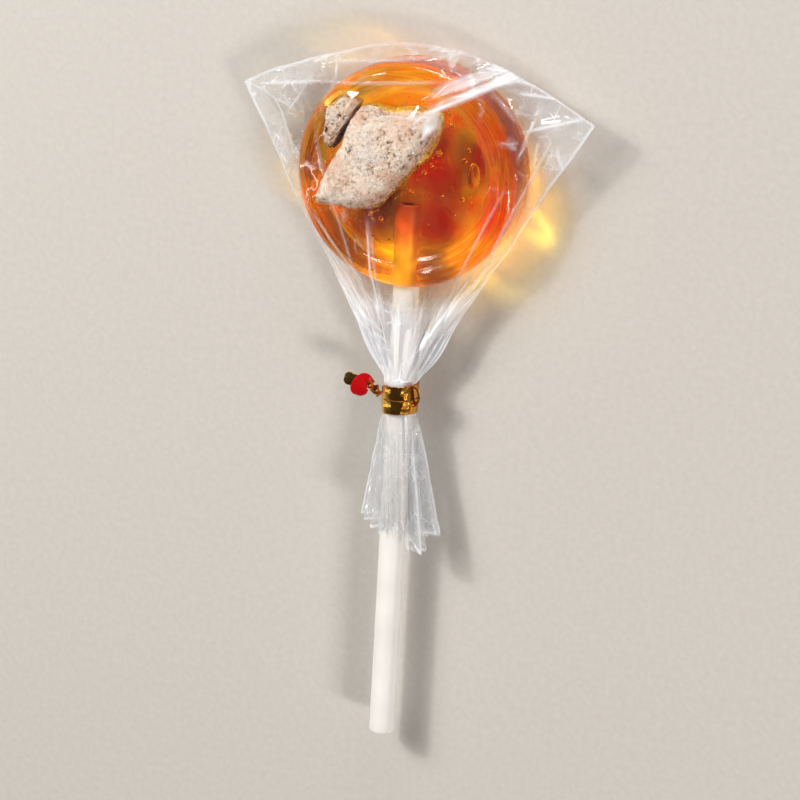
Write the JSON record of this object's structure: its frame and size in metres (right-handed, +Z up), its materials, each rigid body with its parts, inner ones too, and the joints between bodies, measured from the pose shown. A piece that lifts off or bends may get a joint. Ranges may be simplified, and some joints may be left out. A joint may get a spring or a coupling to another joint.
{
  "type": "wrapped lollipop",
  "caption": "Amber maltose lollipop with a salted plum set in its face, on a white tube stick, in a clear film bag closed by a gold twist tie.",
  "frame": {"origin": "middle of the bounding box's underside: on the surface that the lollipop lies on", "axes": "+Z up, out of the candy's shown face; +Y along the stick, from its free end towards the candy; +X to the right as the face is seen"},
  "size_m": [0.066, 0.1288, 0.0138],
  "materials": {
    "amber_candy": "clear hard candy, glossy, amber to deep orange, with small bubbles",
    "salted_plum": "dried fruit with a powdery white salt crust, pinkish beige with grey-brown pits",
    "white_tube": "satin white plastic tube",
    "clear_film": "thin clear glossy film, creased and pleated",
    "gold_foil": "bright gold foil ribbon with a red back"
  },
  "bodies": {
    "root": {"candy_disc": "amber_candy", "plum_piece": "salted_plum", "plum_sliver": "salted_plum", "stick": "white_tube", "film_bag": "clear_film", "twist_tie": "gold_foil"}
  },
  "joints": []
}
